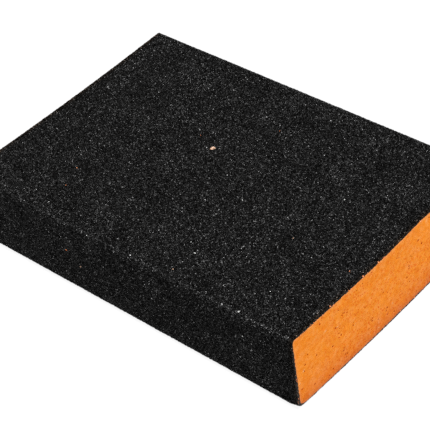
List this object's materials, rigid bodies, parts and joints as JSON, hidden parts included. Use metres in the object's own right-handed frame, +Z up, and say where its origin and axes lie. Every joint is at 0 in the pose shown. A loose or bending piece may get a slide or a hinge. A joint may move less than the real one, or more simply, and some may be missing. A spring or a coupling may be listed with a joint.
{
  "type": "sanding block",
  "caption": "Rectangular foam sanding block with a coarse black abrasive coat on its four long faces and bare orange foam at the two cut ends.",
  "frame": {"origin": "centre of the block's bounding box, at the level of its underside", "axes": "+X along the length towards the end whose cut bulges out, +Y across the width, +Z up through the thickness"},
  "size_m": [0.1006, 0.07, 0.0214],
  "materials": {
    "foam": "matt fine-celled orange foam",
    "binder_resin": "satin black cured resin film",
    "abrasive_grit": "coarse sharp black mineral grit with bright facets"
  },
  "bodies": {
    "root": {"foam_core": "foam", "top_binder_coat": "binder_resin", "top_grit_layer": "abrasive_grit", "front_binder_coat": "binder_resin", "front_grit_layer": "abrasive_grit", "bottom_binder_coat": "binder_resin", "bottom_grit_layer": "abrasive_grit", "back_binder_coat": "binder_resin", "back_grit_layer": "abrasive_grit"}
  },
  "joints": []
}
